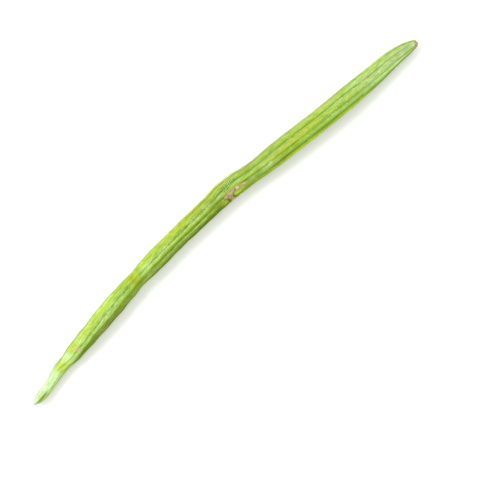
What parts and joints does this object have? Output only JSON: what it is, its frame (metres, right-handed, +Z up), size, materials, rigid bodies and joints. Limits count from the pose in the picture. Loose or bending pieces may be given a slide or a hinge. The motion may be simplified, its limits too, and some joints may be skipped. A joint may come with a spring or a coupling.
{
  "type": "moringa pod",
  "caption": "Long slender green seed pod with lengthwise ribs, a kink near the middle, a blunt tip and a tapered stalk end, lying flat.",
  "frame": {"origin": "middle of the box round the pod, on the level surface it lies on", "axes": "+X from the blunt tip to the stalk end, +Y towards the side that the kink bulges to, +Z up from the surface"},
  "size_m": [0.448, 0.0328, 0.0199],
  "materials": {
    "pod_skin": "fresh green plant skin with a faint wax sheen"
  },
  "bodies": {
    "root": {"moringa_pod": "pod_skin"}
  },
  "joints": []
}
